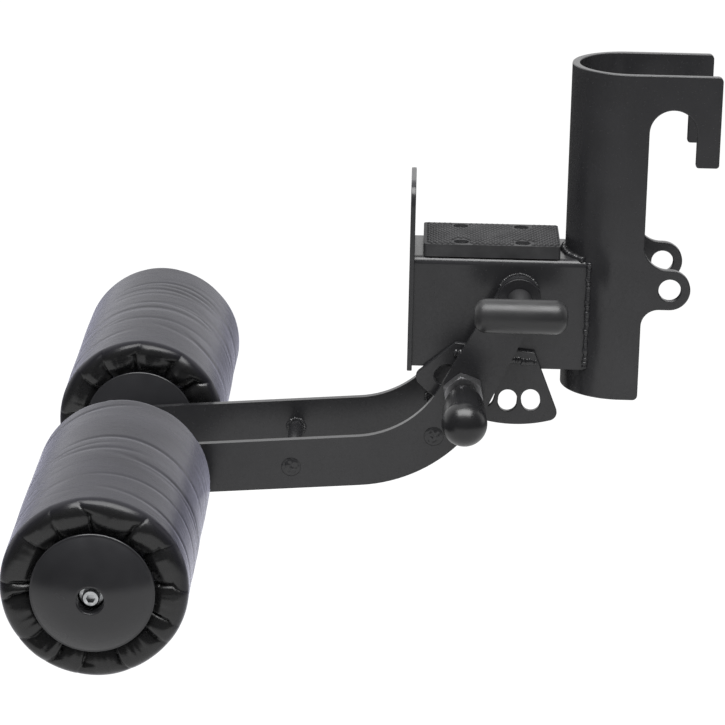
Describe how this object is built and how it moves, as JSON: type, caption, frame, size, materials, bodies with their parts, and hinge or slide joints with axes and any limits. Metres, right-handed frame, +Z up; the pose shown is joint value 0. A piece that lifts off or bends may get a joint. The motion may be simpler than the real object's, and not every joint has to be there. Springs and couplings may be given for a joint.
{
  "type": "roman chair attachment",
  "caption": "Roman chair attachment that hooks on a rack upright: boxed step with a stop plate, and a tilting pair of bent arms with padded rollers, an index plunger and a clamp handle.",
  "frame": {"origin": "centre of the lock-pin holes in the sleeve's ears, midway between the two ears", "axes": "+X from the rollers to the upright, +Y along the lock pin from the handle side to the plain side, +Z up"},
  "size_m": [0.539, 0.6804, 0.407],
  "materials": {
    "powder_coat": "satin",
    "zinc": "satin",
    "spring_steel": "satin",
    "blackened_steel": "satin",
    "gloss_black": "gloss",
    "satin_black": "satin",
    "leatherette": "satin",
    "foam": "matte",
    "pad_rubber": "matte",
    "nylon": "satin"
  },
  "bodies": {
    "bracket": {"rack_sleeve": "powder_coat", "box_channel": "powder_coat", "stop_plate": "powder_coat", "step_pad": "pad_rubber", "pad_screws": "zinc", "sector_plate": "powder_coat", "pivot_tube": "powder_coat", "pivot_bushes": "nylon"},
    "arm": {"arm_plate_front": "powder_coat", "arm_plate_back": "powder_coat", "cross_rods": "powder_coat", "pivot_bolt": "zinc", "pivot_washers": "powder_coat", "pivot_nut": "zinc", "plunger_barrel": "blackened_steel", "roller_axle": "zinc", "axle_plugs": "zinc", "spacer_rings": "powder_coat", "end_washers": "zinc", "end_screws": "zinc"},
    "plunger": {"plunger_pin": "zinc", "plunger_knob": "gloss_black", "plunger_spring": "spring_steel"},
    "clamp_handle": {"clamp_tee": "satin_black", "clamp_insert": "blackened_steel"},
    "roller_front": {"core_tube_front": "satin_black", "foam_front": "foam", "cover_front": "leatherette", "roller_bushes_front": "nylon", "inner_cap_front": "satin_black", "outer_cap_front": "satin_black"},
    "roller_back": {"core_tube_back": "satin_black", "foam_back": "foam", "cover_back": "leatherette", "roller_bushes_back": "nylon", "inner_cap_back": "satin_black", "outer_cap_back": "satin_black"}
  },
  "joints": [
    {"name": "arm_tilt", "type": "hinge", "parent": "bracket", "child": "arm", "pos_m": [-0.1203, 0, -0.0078], "axis": [0, -1, 0], "range_deg": [-12, 36]},
    {"name": "plunger_slide", "type": "slide", "parent": "arm", "child": "plunger", "axis": [0, 1, 0], "range_m": [0, 0.006], "deforming": ["plunger_spring"]},
    {"name": "clamp_turn", "type": "hinge", "parent": "arm", "child": "clamp_handle", "pos_m": [-0.1203, 0, -0.0078], "axis": [0, -1, 0], "range_deg": [0, 360]},
    {"name": "roller_front_spin", "type": "hinge", "parent": "arm", "child": "roller_front", "pos_m": [-0.43506, 0, -0.16255], "axis": [0, -1, 0], "continuous": true},
    {"name": "roller_back_spin", "type": "hinge", "parent": "arm", "child": "roller_back", "pos_m": [-0.43506, 0, -0.16255], "axis": [0, -1, 0], "continuous": true}
  ]
}
